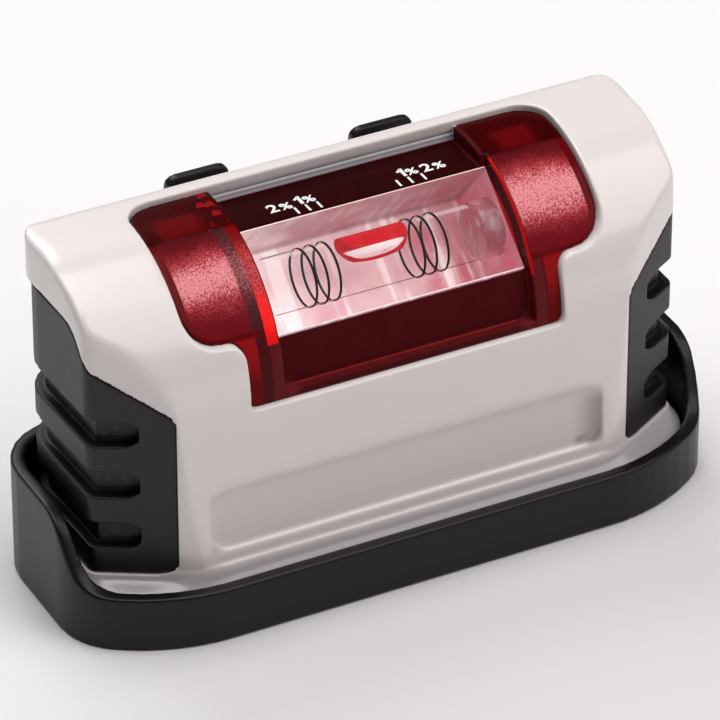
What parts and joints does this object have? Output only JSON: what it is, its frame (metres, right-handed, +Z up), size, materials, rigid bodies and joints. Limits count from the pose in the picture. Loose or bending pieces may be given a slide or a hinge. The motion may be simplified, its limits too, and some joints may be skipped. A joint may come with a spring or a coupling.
{
  "type": "magnetic level",
  "caption": "Pocket magnetic spirit level with a crowned shell, rubber end grips and a red window over a slanted block vial, standing in a belt holster with a sprung clip.",
  "frame": {"origin": "under the middle of the whole, on the surface it stands on", "axes": "+X along the vial, to the right as seen from the front; -Y to the front, the window's side; +Z up"},
  "size_m": [0.092, 0.04, 0.0491],
  "materials": {
    "shell": "glossy warm white moulded plastic",
    "grip": "satin black rubber, rough in the grooves",
    "window": "see-through red plastic, frosted on the shoulders",
    "scale": "dark red film with a plain white scale",
    "vial": "clear polished acrylic",
    "rings": "black printed rings",
    "fluid": "clear spirit with a faint pink cast",
    "bubble": "bubble that picks up the red of the window",
    "plug": "clear acrylic",
    "reflector": "matt white sheet",
    "cradle": "dark moulded plastic",
    "screws": "bright zinc plated steel",
    "base": "milled aluminium",
    "magnets": "nickel plated",
    "holster": "satin black moulded plastic",
    "keeper": "rolled steel sheet",
    "rivets": "plain steel",
    "clip": "satin black moulded plastic",
    "pin": "ground steel",
    "spring": "spring steel wire"
  },
  "bodies": {
    "holster": {"holster_tray": "holster", "keeper_plate": "keeper", "keeper_rivets": "rivets", "clip_pin": "pin", "clip_spring": "spring"},
    "clip": {"belt_clip": "clip"},
    "level": {"housing": "shell", "grip_left": "grip", "grip_right": "grip", "window": "window", "scale_plate": "scale", "vial_block": "vial", "level_rings": "rings", "vial_fluid": "fluid", "vial_plug": "plug", "vial_reflector": "reflector", "vial_cradle": "cradle", "cradle_screws": "screws", "base_plate": "base", "magnet_front_left": "magnets", "magnet_front_right": "magnets", "magnet_rear_left": "magnets", "magnet_rear_right": "magnets", "base_screws": "screws"},
    "bubble": {"bubble": "bubble"}
  },
  "joints": [
    {"name": "level_lift", "type": "slide", "parent": "holster", "child": "level", "axis": [0, 0, 1], "range_m": [0, 0.05]},
    {"name": "clip_hinge", "type": "hinge", "parent": "holster", "child": "clip", "pos_m": [0, 0.0157, 0.031], "axis": [1, 0, 0], "range_deg": [0, 14], "stiffness_Nm_per_rad": 0.05, "springref_deg": -22.92, "deforming": ["clip_spring"]},
    {"name": "bubble_slide", "type": "slide", "parent": "level", "child": "bubble", "axis": [1, 0, 0], "range_m": [-0.009, 0.009], "stiffness_N_per_m": 0.5}
  ]
}
